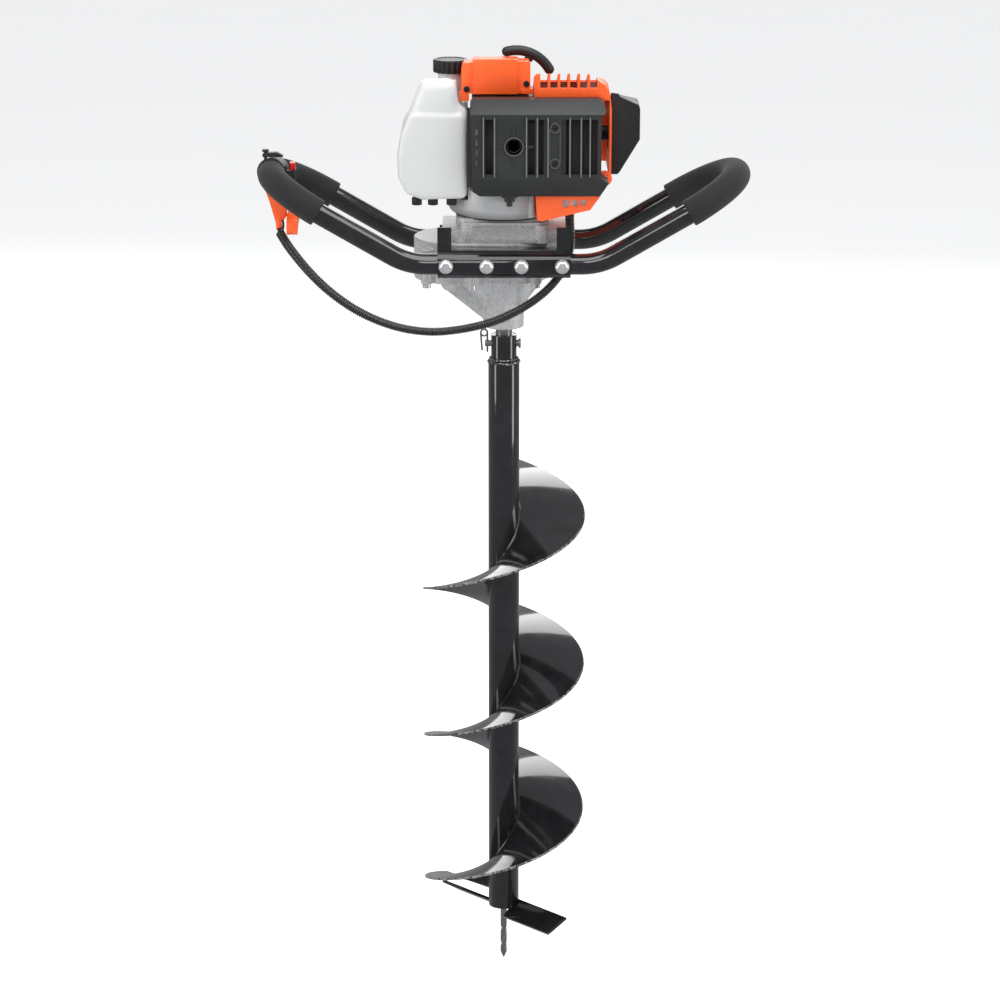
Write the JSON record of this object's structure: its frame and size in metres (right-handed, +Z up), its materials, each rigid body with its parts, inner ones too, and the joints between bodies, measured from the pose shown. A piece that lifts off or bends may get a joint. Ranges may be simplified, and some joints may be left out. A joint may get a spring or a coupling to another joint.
{
  "type": "petrol earth auger",
  "caption": "One-person petrol auger with looped foam-gripped handles, reduction gearbox and a screw bit with pilot point.",
  "frame": {"origin": "on the drilling axis, level with the cutting edge of the blades, on the pilot point's shank", "axes": "+Z up the drilling axis to the engine, +X to the operator's right, +Y away from the exhaust side"},
  "size_m": [0.5896, 0.225, 1.1675],
  "materials": {
    "black_gloss_steel": "gloss black enamel",
    "bare_steel": "machined steel",
    "zinc": "bright zinc plate",
    "cast_aluminium": "fine cast, lightly blasted",
    "dark_plastic": "satin moulded nylon",
    "orange_plastic": "orange moulded plastic",
    "tank_plastic": "translucent white polyethylene",
    "foam": "matte closed-cell foam",
    "rubber": "matte black rubber",
    "red_plastic": "red moulded plastic",
    "filter_foam": "oiled open foam",
    "rope": "braided cord"
  },
  "bodies": {
    "root": {"gearbox_lower_case": "cast_aluminium", "gearbox_upper_case": "cast_aluminium", "gearbox_bearings": "bare_steel", "output_seal": "rubber", "case_screws": "zinc", "clutch_housing": "cast_aluminium", "fan_case": "cast_aluminium", "flywheel": "cast_aluminium", "crankcase": "cast_aluminium", "crankshaft": "bare_steel", "connecting_rod": "bare_steel", "piston": "cast_aluminium", "cylinder": "cast_aluminium", "spark_plug": "bare_steel", "plug_boot": "rubber", "muffler": "bare_steel", "muffler_cover": "dark_plastic", "carburettor": "cast_aluminium", "air_filter_case": "dark_plastic", "air_filter_element": "filter_foam", "air_filter_cover": "dark_plastic", "fuel_tank": "tank_plastic", "tank_feet": "rubber", "starter_housing": "orange_plastic", "starter_rope": "rope", "cylinder_cover": "orange_plastic", "lower_duct": "orange_plastic", "plug_cover": "dark_plastic", "left_handle_tube": "black_gloss_steel", "right_handle_tube": "black_gloss_steel", "left_grip": "foam", "right_grip": "foam", "handle_clamps": "black_gloss_steel", "clamp_bolts": "zinc", "throttle_housing": "orange_plastic", "switch_box": "dark_plastic", "throttle_conduit": "rubber"},
    "auger": {"pilot_point": "bare_steel", "cutter_blades": "black_gloss_steel", "auger_flight": "black_gloss_steel", "auger_tube": "black_gloss_steel", "hitch_pin": "zinc", "hitch_clip": "zinc", "output_shaft": "bare_steel", "output_gear": "bare_steel"},
    "counter": {"counter_shaft": "bare_steel", "counter_gear": "bare_steel"},
    "drum": {"clutch_drum": "bare_steel"},
    "shoe_right": {"clutch_shoe_right": "bare_steel"},
    "shoe_left": {"clutch_shoe_left": "bare_steel"},
    "pulley": {"starter_pulley": "dark_plastic"},
    "pull": {"pull_handle": "dark_plastic"},
    "cap_seal": {"fuel_cap_seal": "rubber"},
    "cap": {"fuel_cap": "dark_plastic"},
    "trigger": {"throttle_trigger": "orange_plastic"},
    "lock": {"throttle_lock": "dark_plastic"},
    "switch": {"kill_switch": "red_plastic"},
    "choke": {"choke_lever": "dark_plastic"},
    "primer": {"primer_bulb": "rubber"},
    "carb_lever": {"carburettor_lever": "bare_steel"}
  },
  "joints": [
    {"name": "auger_spin", "type": "hinge", "parent": "root", "child": "auger", "pos_m": [0, 0, 0.76], "axis": [0, 0, 1], "continuous": true},
    {"name": "counter_spin", "type": "hinge", "parent": "root", "child": "counter", "pos_m": [-0.054, 0, 0.85], "axis": [0, 0, 1], "continuous": true},
    {"name": "drum_spin", "type": "hinge", "parent": "root", "child": "drum", "pos_m": [0, 0, 0.87], "axis": [0, 0, 1], "continuous": true},
    {"name": "shoe_right_out", "type": "slide", "parent": "root", "child": "shoe_right", "axis": [1, 0, 0], "range_m": [0, 0.0015], "stiffness_N_per_m": 8000},
    {"name": "shoe_left_out", "type": "slide", "parent": "root", "child": "shoe_left", "axis": [-1, 0, 0], "range_m": [0, 0.0015], "stiffness_N_per_m": 8000},
    {"name": "starter_pull", "type": "slide", "parent": "root", "child": "pull", "axis": [0.38, 0, 0.925], "range_m": [0, 0.7], "stiffness_N_per_m": 20, "springref_m": -0.5, "deforming": ["starter_rope"]},
    {"name": "starter_pulley_spin", "type": "hinge", "parent": "root", "child": "pulley", "pos_m": [0, 0, 1.07], "axis": [0, 0, 1], "range_deg": [0, 1784.5]},
    {"name": "fuel_cap_lift", "type": "slide", "parent": "root", "child": "cap_seal", "axis": [0, 0, 1], "range_m": [0, 0.0161]},
    {"name": "fuel_cap_turn", "type": "hinge", "parent": "cap_seal", "child": "cap", "pos_m": [-0.0635, 0.026, 1.08], "axis": [0, 0, 1], "range_deg": [0, 720]},
    {"name": "throttle_squeeze", "type": "hinge", "parent": "root", "child": "trigger", "pos_m": [-0.253, 0.027, 0.897], "axis": [-1, 0, 0], "range_deg": [0, 18], "stiffness_Nm_per_rad": 0.6, "springref_deg": -14.32},
    {"name": "carb_throttle", "type": "hinge", "parent": "root", "child": "carb_lever", "pos_m": [0.043, 0.062, 1.002], "axis": [1, 0, 0], "range_deg": [0, 75]},
    {"name": "throttle_lock_turn", "type": "hinge", "parent": "root", "child": "lock", "pos_m": [-0.285, 0.0095, 0.972], "axis": [0, 0, 1], "range_deg": [0, 35]},
    {"name": "stop_switch_slide", "type": "slide", "parent": "root", "child": "switch", "axis": [0, 1, 0], "range_m": [0, 0.006]},
    {"name": "choke_turn", "type": "hinge", "parent": "root", "child": "choke", "pos_m": [0.1, 0.09, 1.024], "axis": [1, 0, 0], "range_deg": [0, 70]},
    {"name": "primer_press", "type": "slide", "parent": "root", "child": "primer", "axis": [-1, 0, 0], "range_m": [0, 0.004], "stiffness_N_per_m": 300}
  ],
  "couplings": [
    {"joint": "counter_spin", "follows": "auger_spin", "ratio": -5},
    {"joint": "drum_spin", "follows": "auger_spin", "ratio": 25},
    {"joint": "shoe_left_out", "follows": "shoe_right_out", "ratio": 1},
    {"joint": "starter_pulley_spin", "follows": "starter_pull", "rad_per_m": 44.444},
    {"joint": "fuel_cap_lift", "follows": "fuel_cap_turn", "m_per_rad": 0.0012732},
    {"joint": "carb_throttle", "follows": "throttle_squeeze", "ratio": 4}
  ]
}
